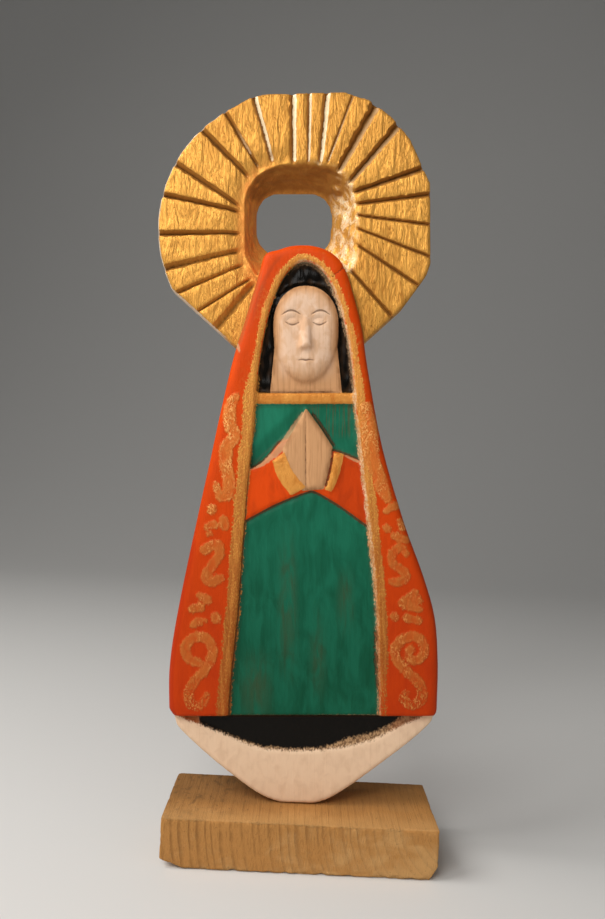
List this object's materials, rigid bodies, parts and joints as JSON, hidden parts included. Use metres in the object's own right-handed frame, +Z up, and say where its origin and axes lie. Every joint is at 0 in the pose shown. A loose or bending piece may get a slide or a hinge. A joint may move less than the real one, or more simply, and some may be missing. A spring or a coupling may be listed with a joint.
{
  "type": "wooden saint statue on a plinth",
  "caption": "Painted wooden saint figure carved in relief, with a gilded ray halo, praying hands and a crescent moon at its foot, standing on a raw sawn wood plinth block.",
  "frame": {"origin": "centre of the plinth block's underside", "axes": "+Z up, +X to the viewer's right, the carved front faces -Y"},
  "size_m": [0.1234, 0.045, 0.3095],
  "materials": {
    "painted_carving": "satin",
    "raw_wood": "rough sawn"
  },
  "bodies": {
    "root": {"figure": "painted_carving", "plinth_block": "raw_wood"}
  },
  "joints": []
}
